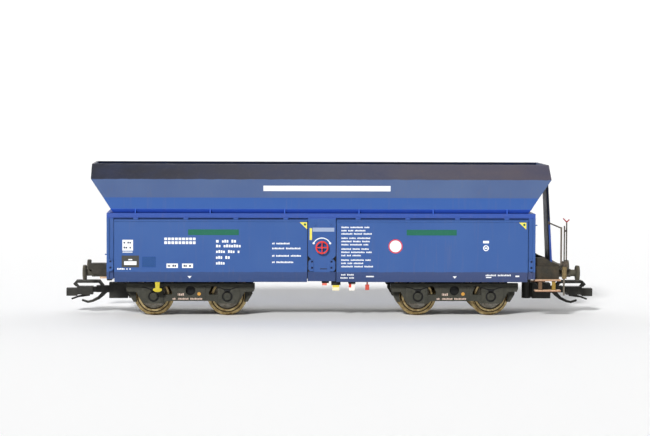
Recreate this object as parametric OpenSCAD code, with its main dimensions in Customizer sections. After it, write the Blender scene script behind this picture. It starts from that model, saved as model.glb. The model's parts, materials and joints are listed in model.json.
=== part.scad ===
// Open hopper wagon, a 1:120 model: bogie hopper with side discharge flaps and a brake platform.
// Millimetres. +X runs towards the brake platform, +Z is up, the near side is -Y.
// X = 0 is the middle of the length over buffers, Z = 0 is the bottom of the wheel flanges.

/* [Running gear] */
// Track gauge between the rail heads
gauge = 12; // [10.5:0.1:14]
// Wheel diameter on the running circle
wheel_d = 7; // [6:0.1:7.6]
// Depth of the wheel flange below the rail top
flange_h = 0.65; // [0.4:0.05:0.8]
// Width of the wheel rim, flange included
rim_w = 2.1; // [1.7:0.05:2.3]
// Distance between the two axles of a bogie
wheelbase = 15; // [12.5:0.1:17]
// Distance between the two bogie pivots
pivot_span = 54; // [46:0.1:60]
// How far the middle of the bogies lies from the middle of the length over buffers
bogie_shift = -2; // [-3:0.1:-1]
// Diameter of the axle between the wheels
axle_d = 1.4; // [1.1:0.1:1.8]
// Diameter of the axle journal that runs in the bogie frame
journal_d = 0.8; // [0.6:0.05:1]
// Radial clearance of journals and pivots
run_gap = 0.05; // [0.02:0.01:0.1]
// Thickness of a bogie side frame
frame_t = 1.7; // [1.4:0.1:2]
// Diameter of the bogie pivot screw
pivot_d = 2.4; // [1.8:0.1:3]

/* [Length over buffers] */
// Length over the buffer faces
buffer_length = 102; // [98:0.5:112]
// Length of one buffer
buffer_l = 5.1; // [4.3:0.1:6]
// Distance of each buffer from the middle
buffer_y = 7.3; // [6.5:0.1:8]
// Height of the buffers above the rail
buffer_h = 8.25; // [8:0.05:8.4]
// Width of the buffer head, which is flat at the top and bottom
buffer_head_d = 3.7; // [3:0.1:4]
// How far the coupler tips stand beyond the buffer faces
coupler_reach = 3.8; // [3:0.1:5]

/* [Body] */
// How far the middle of the body lies from the middle of the length over buffers
body_shift = -2.35; // [-3:0.05:-1.5]
// Length of the lower body over its corner posts
body_l = 87.1; // [76:0.1:89]
// Length of the hopper along its widest edge
hopper_l = 93.4; // [84:0.1:95]
// Half width over the flaps
flap_y = 12.4; // [11.6:0.1:14]
// Half width of the hopper at its widest edge
hopper_y = 12.35; // [11.8:0.05:14]
// Half width of the open top
rim_y = 8.25; // [6.5:0.05:10.5]
// Thickness of the hopper plates
plate_t = 0.5; // [0.35:0.05:0.7]
// Height of the rim above the rail
rim_h = 30.5; // [29.5:0.1:34]
// Height of the widest edge
wide_h = 27.6; // [26.5:0.1:29]
// Height where the leaning side turns upright
break_h = 23.8; // [23:0.1:25]
// Height of the top of the neck under the hopper side
neck_h = 21.5; // [21.1:0.1:22.5]
// Height of the top of the longitudinal chord
chord_h = 20.65; // [20:0.05:21]
// Depth of the longitudinal chord
chord_t = 0.9; // [0.6:0.05:1.2]
// Height of the fold near the foot of a flap
fold_h = 8.8; // [8:0.1:10]
// Height of the bottom of a flap
flap_bottom_h = 6.7; // [6.7:0.1:7.5]
// Width of the panel between two flaps
centre_w = 5.68; // [4.8:0.1:8]
// Width of a corner post along the wagon
post_w = 1.4; // [1.1:0.1:2]
// Height of the ridge of the saddle floor
ridge_h = 16.5; // [14:0.1:18]

/* [Platform] */
// Height of the platform deck
deck_h = 10.1; // [10:0.05:10.4]
// Thickness of the platform deck
deck_t = 0.4; // [0.3:0.05:0.5]
// Height of the railing above the deck
railing_h = 7.8; // [6:0.1:9]
// Diameter of the railing wire
railing_d = 0.35; // [0.3:0.05:0.5]

/* [Couplers] */
// Distance of the coupler pivot inboard of the headstock face
coupler_pivot_in = 4.9; // [4.5:0.1:5.5]
// Width of the coupler pocket
pocket_w = 2.6; // [2.2:0.1:3]
// Height of the bottom of the coupler pocket above the rail
pocket_low_h = 2.4; // [2.2:0.1:2.8]
// Height of the top of the coupler pocket above the rail
pocket_top_h = 5.6; // [5.2:0.1:5.8]

/* [Hidden] */
$fn = 48;
rail = flange_h;                       // Z of the rail top
tread_r = wheel_d / 2;
axle_z = rail + tread_r;
back_y = gauge / 2 - 0.9;              // inner face of a wheel
face_y = back_y + rim_w;               // outer face of a wheel
frame_in_y = face_y + 0.4;             // inner face of a bogie side frame
frame_out_y = frame_in_y + frame_t;
frame_top_h = 6.2;
pad_h = frame_top_h + 0.1;             // underside of the body's pivot pads
disc_h = pad_h - run_gap;              // top of the bogie's centre disc
transom_low_h = 3.4;
transom_top_h = 5.6;
transom_x = 2.2;
pivots = [bogie_shift - pivot_span / 2, bogie_shift + pivot_span / 2];
head_x = buffer_length / 2 - buffer_l; // outer face of a headstock
head_t = 1;
head_y = 10.8;
head_low_h = 6.9;
head_top_h = deck_h - deck_t;
cheek_low_h = 7.27;                    // foot of the posts and of the platform's side cheeks
cheek_in_y = 9.2;
sill_y = 1.7;
sill_low_h = 6.5;
sill_top_h = 9;
lower_x = body_l / 2;
wide_x = hopper_l / 2;
slope_low_h = 9.5;                     // foot of the end slope sheets
slope_run = (wide_x - lower_x + 0.9) / (wide_h - 21.3); // run per rise of the end slopes
upright_y = hopper_y - 0.95;           // the upright strip under the leaning side
neck_y = upright_y - 0.8;              // foot of the neck
chord_y = flap_y - 0.5;
chord_low_h = chord_h - chord_t;
flap_top_h = chord_low_h - 0.4;
lip_y = [chord_y - 0.9, chord_y - 0.45]; // lip that closes the slot above the flaps
lip_low_h = flap_top_h - 0.3;
flap_foot_y = flap_y - 0.65;
flap_in_y = flap_y - plate_t;          // inner face of a flap
flap_x0 = centre_w / 2;
flap_gap = 0.13;                       // gap beside a flap
post_x0 = lower_x - post_w;
panel_y = flap_y - 0.3;                // outer face of the centre panel
panel_in_y = panel_y - plate_t;
handwheel_h = 13.8;
handwheel_r = 1.33;
half_base = wheelbase / 2;
deck_x0 = body_shift + lower_x;
deck_x1 = head_x + 1;
pillar_y = 2.75;
coupler_pivot_x = head_x - coupler_pivot_in;
coupler_tip_x = buffer_length / 2 + coupler_reach;
pin_d = 0.9;
boss_r = 0.95;

// ---------- shared helpers ----------

// A profile in Y and height above the rail, drawn out along X
module along_x(points, x0, x1)
    translate([x0, 0, rail]) rotate([90, 0, 90]) linear_extrude(x1 - x0) polygon(points);

// A profile in X and height above the rail, drawn out along Y
module along_y(points, y0, y1)
    translate([0, y1, rail]) rotate([90, 0, 0]) linear_extrude(y1 - y0) polygon(points);

// A block between two X, two Y and two heights above the rail
module block(x, y, h)
    translate([x[0], y[0], rail + h[0]]) cube([x[1] - x[0], y[1] - y[0], h[1] - h[0]]);

// A round bar between two points given as [x, y, height above the rail]
module bar(a, b, d) {
    v = b - a;
    translate([a[0], a[1], a[2] + rail])
        rotate([0, acos(v[2] / norm(v)), atan2(v[1], v[0])]) cylinder(h = norm(v), d = d);
}

// A disc or pin across the wagon
module pin_y(x, h, r, y0, y1)
    translate([x, y0, rail + h]) rotate([-90, 0, 0]) cylinder(h = y1 - y0, r = r);

// A disc or pin along the wagon
module pin_x(y, h, r, x0, x1)
    translate([x0, y, rail + h]) rotate([0, 90, 0]) cylinder(h = x1 - x0, r = r);

// Mirrors onto the near side when side is -1, and onto the plain end when side is -1
module to_side(side) mirror([0, side < 0 ? 1 : 0, 0]) children();
module to_end(side) mirror([side < 0 ? 1 : 0, 0, 0]) children();

// Half thickness offset of an open outline, mitred at its corners
function unit(v) = v / norm(v);
function left_of(v) = [-v[1], v[0]];
function edge_normal(p, i) = left_of(unit(p[i + 1] - p[i]));
function joint_normal(p, i) =
    i == 0 ? edge_normal(p, 0) :
    i == len(p) - 1 ? edge_normal(p, i - 1) :
    let (a = edge_normal(p, i - 1), b = edge_normal(p, i)) (a + b) / (1 + a * b);
function offset_line(p, t) = [for (i = [0 : len(p) - 1]) p[i] + t * joint_normal(p, i)];
function reversed(p) = [for (i = [len(p) - 1 : -1 : 0]) p[i]];
function plate(p, t) = concat(p, reversed(offset_line(p, t)));

// ---------- hopper ----------

// Outer outline of the hopper side, from the rim down to the neck
side_line = [[rim_y, rim_h], [hopper_y, wide_h], [upright_y, break_h],
             [upright_y, neck_h], [neck_y, chord_h]];
function level_t(a, b) = let (m = (b[0] - a[0]) / (b[1] - a[1])) plate_t * sqrt(1 + m * m);
neck_in_y = neck_y - level_t(side_line[3], side_line[4]);
side_in_mid = offset_line(side_line, -plate_t);
side_in_line = [[rim_y - level_t(side_line[0], side_line[1]), rim_h], side_in_mid[1], side_in_mid[2],
                side_in_mid[3], [neck_in_y, chord_h]];

// Outline of the hopper seen from the side; run is how far the slope has moved in at height h
function slope_x(h) = wide_x - (wide_h - h) * slope_run;
slope_shift = plate_t * sqrt(1 + slope_run * slope_run);

module hopper_outline(inset, low_h) {
    x1 = wide_x - inset;
    xs = slope_x(low_h) - (inset > 0 ? slope_shift : 0);
    xw = wide_x - (inset > 0 ? slope_shift : 0);
    translate([body_shift, 0, 0])
        along_y([[-x1, rim_h + 1], [x1, rim_h + 1], [x1, wide_h + (x1 - xw) / slope_run], [xs, low_h],
                 [-xs, low_h], [-x1, wide_h + (x1 - xw) / slope_run]], -20, 20);
}

// Everything inside the side plates above the neck, and inside the flaps below it
module hopper_inside() {
    pts = concat([[0, rim_h + 1], [side_in_line[0][0], rim_h + 1]], side_in_line,
                 [[neck_in_y, chord_low_h], [lip_y[0], chord_low_h], [lip_y[0], lip_low_h],
                  [flap_in_y - 0.1, lip_low_h], [flap_in_y - 0.1, slope_low_h - 1],
                  [0, slope_low_h - 1]]);
    for (s = [-1, 1]) to_side(s) along_x(pts, -60, 60);
}

module hopper_side(side) color("royalblue") to_side(side) intersection() {
    along_x(concat(side_line, reversed(side_in_line)), -60, 60);
    hopper_outline(0, chord_h - 1);
}

module hopper_end(end) color("royalblue") intersection() {
    difference() {
        hopper_outline(0, slope_low_h);
        hopper_outline(plate_t, slope_low_h - 1);
    }
    hopper_inside();
    block([end < 0 ? -60 : body_shift, end < 0 ? body_shift : 60], [-20, 20], [slope_low_h, rim_h]);
}

saddle_t = 0.5;
saddle_foot_h = fold_h + saddle_t;
saddle_top = [[panel_in_y, saddle_foot_h], [0, ridge_h], [-panel_in_y, saddle_foot_h]];
saddle_low = [[-panel_in_y, saddle_foot_h - saddle_t], [0, ridge_h - saddle_t],
              [panel_in_y, saddle_foot_h - saddle_t]];
module saddle_floor() color("dimgray") intersection() {
    along_x(concat(saddle_top, saddle_low), -60, 60);
    hopper_outline(plate_t, saddle_foot_h - 3);
}

gusset_pitch = 15.1;
hinge_xs = [for (i = [0 : 3]) flap_x0 + 4.5 + i * (post_x0 - flap_x0 - 9) / 3];
module chord(side) color("royalblue") to_side(side) translate([body_shift, 0, 0]) {
    block([-lower_x, lower_x], [neck_in_y, chord_y], [chord_low_h, chord_h]);
    block([-post_x0, post_x0], lip_y, [lip_low_h, chord_low_h]);
    for (x = hinge_xs, e = [-1, 1])
        block([e * x - 0.5, e * x + 0.5], [chord_y - 0.45, flap_y - 0.1], [flap_top_h, chord_low_h]);
    // Gusset ribs in the neck, above the chord
    for (i = [-2.5 : 1 : 2.5])
        translate([i * gusset_pitch - 0.11, 0, 0])
            along_x([[neck_y, chord_h], [chord_y - 0.05, chord_h], [upright_y, neck_h]], 0, 0.22);
}

// ---------- flaps, posts and centre panel ----------

flap_line = [[flap_y, flap_top_h], [flap_y, fold_h], [flap_foot_y, flap_bottom_h]];
foot_slant = (flap_y - flap_foot_y) / (fold_h - flap_bottom_h);
foot_t = plate_t * sqrt(1 + foot_slant * foot_slant);
flap_in_line = offset_line(flap_line, -plate_t);
flap_outline = concat(flap_line, [[flap_foot_y - foot_t, flap_bottom_h]],
                      [flap_in_line[1], flap_in_line[0]]);
module flap(side, end) color("royalblue") to_side(side) translate([body_shift, 0, 0])
    to_end(end) {
        along_x(flap_outline, flap_x0 + flap_gap, post_x0 - flap_gap);
        // Rolled edge along the hinge
        block([flap_x0 + flap_gap, post_x0 - flap_gap], [flap_y, flap_y + 0.12],
              [flap_top_h - 0.35, flap_top_h]);
    }

// Bracket of a flap latch from its root x0 to its rounded edge x1, with two square holes
latch_h = [8.9, 11.3];
hole_w = 0.4;
module latch_plate(x0, x1, y0, y1) {
    x = x0 + (x1 > x0 ? 0.3 : -0.3) - hole_w / 2;
    c = x1 > x0 ? 0.35 : -0.35;
    difference() {
        along_y([[x0, latch_h[0]], [x1 - c, latch_h[0]], [x1, latch_h[0] + 0.45],
                 [x1, latch_h[1] - 0.45], [x1 - c, latch_h[1]], [x0, latch_h[1]]], y0, y1);
        for (h = [latch_h[0] + 0.55, latch_h[1] - 0.6])
            block([x, x + hole_w], [y1 - 0.2, y1 + 1], [h, h + hole_w]);
    }
}

module post(side, end) color("royalblue") to_side(side) translate([body_shift, 0, 0])
    to_end(end) {
        x1 = lower_x;
        along_y([[post_x0, cheek_low_h], [x1, cheek_low_h], [x1, chord_low_h], [post_x0, chord_low_h]],
                head_y, panel_y - 0.25);
        // Upright edge flange along the outer corner
        along_y([[x1 - 0.5, cheek_low_h], [x1, cheek_low_h], [x1, chord_low_h], [x1 - 0.5, chord_low_h]],
                panel_y - 0.25, panel_y + 0.05);
        latch_plate(x1 - 0.5, post_x0, panel_y - 0.25, panel_y + 0.25);
    }

neck_w = 1.67;                          // half width of the centre panel between the latches
neck_top_h = 10.85;                     // here the panel starts to widen again
panel_wide_h = 12.1;
module centre_panel(side) color("royalblue") to_side(side) translate([body_shift, 0, 0]) {
    w = flap_x0;
    difference() {
        along_y([[-w, fold_h], [w, fold_h], [w, chord_low_h], [-w, chord_low_h]], panel_in_y, panel_y);
        // Openings beside the neck, where the latch levers come out
        for (s = [-1, 1]) to_end(s)
            along_y([[neck_w, fold_h - 1], [w + 1, fold_h - 1],
                     [w + 1, panel_wide_h], [w, panel_wide_h], [neck_w, neck_top_h]],
                    panel_y - 1, panel_y + 1);
    }
    // Foot that leans in like the feet of the flaps
    along_x([[panel_y, fold_h], [flap_foot_y - 0.3, flap_bottom_h + 0.15],
             [flap_foot_y - 0.3 - foot_t, flap_bottom_h + 0.15], [panel_in_y, fold_h]], -w, w);
    for (s = [-1, 1]) to_end(s) latch_plate(neck_w, w - 0.1, panel_in_y, panel_y + 0.15);
}

module handwheel(side) color("red") to_side(side)
    translate([body_shift, panel_y, rail + handwheel_h]) rotate([-90, 0, 0]) {
        stand = 0.75;
        translate([0, 0, stand]) rotate_extrude() translate([handwheel_r - 0.16, 0]) circle(0.16, $fn = 24);
        for (a = [0 : 90 : 270]) rotate([0, 90, a]) translate([-stand, 0, 0])
            cylinder(h = handwheel_r - 0.16, r = 0.11, $fn = 24);
        cylinder(h = stand + 0.2, r = 0.24);
    }

// ---------- end frames ----------

module end_frame(end) color("royalblue") translate([body_shift, 0, 0]) to_end(end) {
    x1 = lower_x;
    foot = end < 0 ? head_top_h : cheek_low_h;
    // Top beam between the chords, under the slope sheet
    block([x1 - 0.9, x1], [-neck_in_y, neck_in_y], [chord_low_h, chord_h]);
    for (s = [-1, 1]) to_side(s) {
        block([x1 - 0.9, x1], [3.6, 4.3], [foot, chord_low_h]);
        block([x1 - 0.9, x1], [head_y - 0.9, head_y], [foot, chord_low_h]);
    }
    // Middle rail of the end
    block([x1 - 0.7, x1 - 0.2], [-head_y + 0.9, head_y - 0.9], [14, 14.7]);
    if (end > 0) block([x1 - 0.9, x1], [-head_y, head_y], [cheek_low_h, beam_top_h]);
}

// ---------- underframe ----------

beam_top_h = sill_low_h + 2.4;          // top of the cross beam at the brake end
bearer_y = 9.6;
bearer_low_h = 7.4;
module underframe() color("dimgray") {
    difference() {
        block([-head_x + head_t, head_x - head_t], [-sill_y, sill_y], [sill_low_h, sill_top_h]);
        // The cross beam of the brake end passes through the sill
        block([deck_x0 - 0.9, deck_x0], [-20, 20], [cheek_low_h, beam_top_h]);
    }
    // Bolsters with the pads that rest on the bogies, and the bearer between them
    for (x = pivots) translate([x, 0, 0]) {
        block([-1.6, 1.6], [-bearer_y, bearer_y], [bearer_low_h, sill_top_h]);
        translate([0, 0, rail + pad_h]) cylinder(h = bearer_low_h + 0.4 - pad_h, r = 2.6);
    }
    block([body_shift - 0.8, body_shift + 0.8], [-bearer_y, bearer_y], [bearer_low_h, sill_top_h]);
}

// Upright webs on the bolsters and the bearer, which carry the saddle floor
function web_h(y) = ridge_h - saddle_t - y * (ridge_h - saddle_foot_h) / panel_in_y;
module saddle_webs() color("dimgray") for (x = [pivots[0], body_shift, pivots[1]])
    along_x([[-bearer_y, sill_top_h], [bearer_y, sill_top_h], [bearer_y, web_h(bearer_y)],
             [0, web_h(0)], [-bearer_y, web_h(bearer_y)]], x - 0.3, x + 0.3);

// Shafts along the feet of the flaps, on arms from the bolsters
shaft_y = [10.35, 10.75];
shaft_h = [bearer_low_h, bearer_low_h + 0.4];
module flap_shafts() color("dimgray") for (side = [-1, 1]) to_side(side) {
    block([-head_x + head_t, deck_x0 - 0.9], shaft_y, shaft_h);
    for (x = pivots) block([x - 0.8, x + 0.8], [bearer_y, shaft_y[1]], shaft_h);
}

// Pins under the sill that the couplers swing on
module coupler_pins() color("dimgray") for (s = [-1, 1])
    translate([s * coupler_pivot_x, 0, rail + sill_low_h - 2]) cylinder(h = 2, d = pin_d);

module headstock(end) color("dimgray") to_end(end) {
    y = end < 0 ? head_y : cheek_in_y;
    difference() {
        block([head_x - head_t, head_x], [-y, y], [head_low_h, head_top_h]);
        block([head_x - 2, head_x + 1], [-0.8, 0.8], [7.6, 8.9]);
    }
    // Drawhook plate
    block([head_x, head_x + 0.15], [-1.3, 1.3], [7.3, 9.2]);
}

buffer_head_h = 2.95;
module buffers() color("dimgray") for (e = [-1, 1], s = [-1, 1]) to_end(e)
    translate([head_x, s * buffer_y, rail + buffer_h]) {
        r = buffer_head_d / 2;
        rotate([0, 90, 0]) rotate_extrude()
            polygon([[0, 0], [1, 0], [1, 0.35], [0.85, 0.45], [0.85, buffer_l - 1.9], [0.7, buffer_l - 1.8],
                     [0.7, buffer_l - 0.8], [0, buffer_l - 0.8]]);
        intersection() {
            rotate([0, 90, 0]) rotate_extrude()
                polygon([[0, buffer_l - 0.8], [r - 0.35, buffer_l - 0.8], [r, buffer_l - 0.45],
                         [r, buffer_l - 0.3], [r - 0.2, buffer_l - 0.1], [1.1, buffer_l], [0, buffer_l]]);
            translate([0, -5, -buffer_head_h / 2]) cube([10, 10, buffer_head_h]);
        }
    }

// Angled box over and beside the near buffer of the plain end, with an upright lamp plate at its end
module lamp_box() color("dimgray") to_end(-1) to_side(-1) {
    x1 = head_x + 3.25;
    low_h = buffer_h + 1.05;
    box_y = [buffer_y - 1, buffer_y + 1.6];
    web_y = [buffer_y + 1.05, box_y[1]];
    along_y([[head_x, low_h], [x1, low_h], [x1, low_h + 0.9], [head_x + 0.7, low_h + 0.9],
             [head_x, low_h + 0.6]], box_y[0], box_y[1]);
    along_y([[head_x, buffer_h - 0.5], [head_x + 1.1, buffer_h - 0.5], [head_x + 1.4, buffer_h - 0.2],
             [x1 - 0.3, buffer_h - 0.2], [x1, buffer_h + 0.1], [x1, low_h], [head_x, low_h]],
            web_y[0], web_y[1]);
    block([x1, x1 + 0.7], [box_y[1] - 1, box_y[1]], [low_h - 0.3, low_h + 1.6]);
}

screw_low_h = transom_low_h - 0.9;
module pivot_screws() color("silver") for (x = pivots) translate([x, 0, rail]) {
    difference() {
        translate([0, 0, screw_low_h]) cylinder(h = 0.8, r = pivot_d / 2 + 0.8);
        translate([-3, -0.2, screw_low_h - 1]) cube([6, 0.4, 1.3]);
    }
    translate([0, 0, screw_low_h + 0.8]) cylinder(h = pad_h - screw_low_h - 0.8, d = pivot_d);
}

module air_reservoir() color("dimgray") {
    x0 = body_shift - 11;
    pin_x(4.6, 7.9, 1.5, x0, x0 + 7.5);
    for (x = [x0 + 1, x0 + 6]) block([x, x + 0.5], [sill_y, 4.2], [8.1, 8.7]);
}

module brake_cylinder() color("dimgray") {
    x0 = body_shift + 3;
    pin_x(-4.4, 7.9, 1.4, x0, x0 + 2.6);
    pin_x(-4.4, 7.9, 0.35, x0 + 2.6, x0 + 6);
    block([x0 + 0.8, x0 + 1.8], [-4.2, -sill_y], [8.1, 8.7]);
}

// ---------- brake platform ----------

module platform_deck() color("dimgray") {
    block([deck_x0, deck_x1], [-head_y, head_y], [deck_h - deck_t, deck_h]);
    // Side cheeks over the ends of the headstock, and the curved housings on the deck
    for (s = [-1, 1]) to_side(s) {
        block([deck_x0, head_x + 0.4], [cheek_in_y, head_y], [cheek_low_h, deck_h - deck_t]);
        along_y([[deck_x0, deck_h], [deck_x1 - 0.4, deck_h], [deck_x1 - 2, deck_h + 0.6],
                 [deck_x0 + 2.2, deck_h + 1.45], [deck_x0, deck_h + 1.45]], head_y - 2.4, head_y - 0.5);
    }
}

// Channel pillar between the deck and the top of the hopper end
function pillar_in_x(h) = head_x - 0.6 - (h - deck_h) * 0.045;
function pillar_out_x(h) = head_x + 0.12 - (h - deck_h) * 0.06;
pillar_top_h = wide_h + 0.9;
module end_pillar() color("midnightblue") {
    x0 = pillar_in_x(deck_h);
    x1 = pillar_in_x(pillar_top_h);
    y = pillar_y - 0.5;
    along_y([[x0, deck_h], [x0 + 0.3, deck_h], [x1 + 0.3, pillar_top_h], [x1, pillar_top_h]], -y, y);
    for (s = [-1, 1]) to_side(s) {
        along_y([[x0, deck_h], [pillar_out_x(deck_h), deck_h],
                 [pillar_out_x(pillar_top_h), pillar_top_h], [x1, pillar_top_h]], y, pillar_y);
        // Lug onto the upright edge of the hopper end
        block([body_shift + wide_x, pillar_in_x(wide_h)], [y, pillar_y], [wide_h + 0.1, wide_h + 0.7]);
    }
    // Rungs between the flanges
    for (i = [0 : 4]) {
        h = deck_h + 2.6 + i * 2.55;
        x = (pillar_in_x(h) + 0.3 + pillar_out_x(h)) / 2 + 0.05;
        pin_y(x, h, 0.12, -y, y);
    }
}

rail_post_x = deck_x1 - 0.2;
rail_post_y = head_y - 0.25;
rail_top_h = deck_h + railing_h;
rail_seat_h = rail_top_h + 0.4;
module platform_railing() color("dimgray") for (s = [-1, 1]) to_side(s) {
    x = rail_post_x;
    xs = pillar_out_x(rail_seat_h) - 0.25;
    thin_d = railing_d - 0.06;
    bar([x, rail_post_y, deck_h], [x, rail_post_y, rail_top_h], railing_d);
    bar([x, rail_post_y, rail_top_h - 0.2], [xs, pillar_y + 0.15, rail_seat_h], thin_d);
    block([xs - 0.2, xs + 0.2], [pillar_y, pillar_y + 0.3], [rail_seat_h - 0.3, rail_seat_h + 0.3]);
}

// Handbrake column on a bracket beyond the deck, with its guide post
column_x = deck_x1 + 1;
guide_x = column_x - 0.45;
column_y = 1 - head_y;
column_d = 0.28;
module handbrake_column() color("dimgray") {
    low_h = 3.8;
    bracket_low_h = 7.25;
    top_h = rail_top_h + 1.1;
    bar([column_x, column_y, deck_h], [column_x, column_y, top_h], column_d);
    bar([guide_x, column_y, deck_h], [guide_x, column_y, rail_top_h + 0.2], column_d);
    block([guide_x, column_x], [column_y - 0.15, column_y + 0.15], [rail_top_h - 1, rail_top_h - 0.65]);
    block([deck_x1, column_x + 0.25], [column_y - 0.45, column_y + 0.45], [deck_h - deck_t, deck_h + 0.75]);
    block([guide_x - 0.4, column_x + 0.05], [column_y - 0.3, column_y + 0.3],
          [bracket_low_h, deck_h - deck_t]);
    bar([guide_x, column_y, low_h], [guide_x, column_y, bracket_low_h], 0.4);
    // Crank handle
    bar([column_x, column_y, top_h - 0.1], [column_x - 0.75, column_y - 0.2, top_h + 0.65], 0.25);
    bar([column_x, column_y, top_h - 0.1], [column_x + 0.55, column_y + 0.2, top_h + 0.4], 0.25);
}

// Two boards under the cheek, joined by two straps
step_x = [deck_x0, deck_x1 - 0.4];
step_h = [5.12, cheek_low_h];
step_t = 0.35;
step_y = [head_y - 0.6, head_y + 1.3];
module platform_steps(side) color("tan") to_side(side) {
    for (h = step_h) block(step_x, step_y, [h - step_t, h]);
    for (x = [step_x[0] + 0.75, step_x[0] + 3.5])
        block([x, x + 0.75], [step_y[1] - 0.7, step_y[1] - 0.3], [step_h[0], step_h[1] - step_t]);
}

// ---------- small fittings ----------

// A hanging lever: a dark root on the shaft and a signal plate below it
module lever(x, w, top_w, low_h, root_h) {
    block([x - top_w / 2, x + top_w / 2], [shaft_y[0], shaft_y[1]], [root_h, shaft_h[0]]);
    block([x - w / 2, x + w / 2], [shaft_y[1] - 0.3, shaft_y[1]], [low_h, root_h]);
}
module brake_levers(side) color("gold") to_side(side) translate([body_shift, 0, 0])
    to_end(side < 0 ? 1 : -1) {
        lever(0.8, 1.3, 1.5, 5.95, 6.45);
        lever(2.95, 1.4, 1.9, 4.9, 6);
        lever(6.2, 1.2, 1.5, 4.9, 6.3);
        lever(9.35, 0.8, 0.3, 5, 6.1);
    }

// Forked drag shoe on the foot of the near flap
shoe_x = pivots[0] - half_base + 0.85;
shoe_y = [flap_foot_y - 0.45, flap_foot_y - 0.05];
module drag_shoe() color("gold") to_side(-1)
    along_y([[shoe_x - 0.5, flap_bottom_h], [shoe_x - 0.4, 5.45], [shoe_x - 0.9, 5.3], [shoe_x - 0.9, 4.95],
             [shoe_x - 0.4, 4.65], [shoe_x + 0.4, 4.65], [shoe_x + 0.9, 4.95], [shoe_x + 0.9, 5.3],
             [shoe_x + 0.4, 5.45], [shoe_x + 0.5, flap_bottom_h]], shoe_y[0], shoe_y[1]);

// ---------- bogies ----------

guard = 2.2;                            // half width of the axle guard at its foot
guard_low_h = 2.1;
side_frame_half = [
    [half_base - guard - 1.1, 2.6], [half_base - guard - 0.4, 2.5], [half_base - guard, guard_low_h],
    [half_base + guard, guard_low_h], [half_base + guard + 0.5, 2.9], [half_base + guard + 0.9, 3.6],
    [half_base + guard + 1.25, 4.3], [half_base + guard + 1.5, 4.5], [half_base + guard + 3.1, 4.5],
    [half_base + guard + 3.4, 5.1], [half_base + guard + 3.4, frame_top_h]
];
function flipped(p) = [for (q = reversed(p)) [-q[0], q[1]]];

// Slanted opening in front of the wheel, and the raised faces of beam and axle guard
window = [[half_base - 2, 3.85], [half_base - 2, 5.3], [half_base - 2.4, 5.6], [half_base - 3.2, 5.6],
          [half_base - 3.8, 4.3], [half_base - 3.7, 3.85]];
beam_low = [[0, 5.7], [half_base - 3.2, 5.75], [half_base - 1.5, 5.4], [half_base - 0.7, 5.1],
            [half_base + 0.7, 5.1], [half_base + 1.5, 5.4], [half_base + 3.4, 5.75],
            [half_base + guard + 3.2, 5.8], [half_base + guard + 3.2, frame_top_h]];
guard_face = [[half_base - guard + 0.2, guard_low_h], [half_base + guard - 0.2, guard_low_h],
              [half_base + guard + 0.4, 3.6], [half_base + guard + 0.2, 5.3], [half_base + 1.6, 5.2],
              [half_base + 0.75, 4.9], [half_base + 0.4, 4.3], [half_base - 0.4, 4.3],
              [half_base - 0.75, 4.9], [half_base - 1.6, 5.2], [half_base - guard + 0.3, 5.2]];
face_t = 0.2;
module side_frame() {
    y0 = frame_in_y;
    y1 = frame_out_y;
    difference() {
        along_y(concat(side_frame_half, flipped(side_frame_half)), y0, y1);
        for (e = [-1, 1]) to_end(e) {
            along_y(window, y0 - 1, y1 + 1);
            pin_y(half_base, tread_r, journal_d / 2 + run_gap, y0 - 1, y1 - 0.3);
        }
        pin_y(0, 4.7, 1, y1 - 0.9, y1 + 1);
    }
    along_y(concat(beam_low, flipped(beam_low)), y1, y1 + face_t);
    for (e = [-1, 1]) to_end(e) difference() {
        along_y(guard_face, y1, y1 + face_t);
        pin_y(half_base, tread_r, 1.1, y1 - 1, y1 + 1);
    }
    // Ribs on the sill between the wheels
    for (e = [-1, 1]) block([e > 0 ? 2.6 : -3, e > 0 ? 3 : -2.6], [y1, y1 + face_t - 0.05], [2.9, 5.6]);
}

module bogie_frame(i) color("dimgray") translate([pivots[i], 0, 0]) difference() {
    union() {
        for (s = [-1, 1]) to_side(s) side_frame();
        block([-transom_x, transom_x], [-frame_in_y, frame_in_y], [transom_low_h, transom_top_h]);
        translate([0, 0, rail + transom_low_h]) cylinder(h = disc_h - transom_low_h, r = 2.8);
    }
    translate([0, 0, rail]) cylinder(h = 20, r = pivot_d / 2 + run_gap);
}

// Round covers over the axle ends
module axleboxes(i) color("dimgray") translate([pivots[i], 0, 0])
    for (s = [-1, 1], e = [-1, 1]) to_side(s) to_end(e)
        translate([half_base, frame_out_y, axle_z]) rotate([-90, 0, 0]) rotate_extrude()
            polygon([[0, 0], [0.8, 0], [0.8, 0.15], [0.65, 0.3], [0.25, 0.3], [0.2, 0.22], [0, 0.22]]);

// Shoes beyond the wheels, each on a hanger at the frame
module brake_shoes(i) color("dimgray") translate([pivots[i], 0, 0])
    for (s = [-1, 1], e = [-1, 1]) to_side(s) to_end(e) {
        r0 = tread_r + 0.15;
        y0 = back_y + 0.95;
        arc = [for (a = [-20 : 8 : 20]) [half_base + r0 * cos(a), tread_r + r0 * sin(a)]];
        x = half_base + r0;
        along_y(concat(arc, [[x + 1.5, tread_r + 1.25], [x + 1.5, tread_r + 0.4], [x + 0.5, tread_r - 1.25]]),
                y0, frame_in_y);
        block([x + 0.72, x + 1.1], [frame_in_y - 0.7, frame_in_y], [tread_r + 1, 5.6]);
    }

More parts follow.
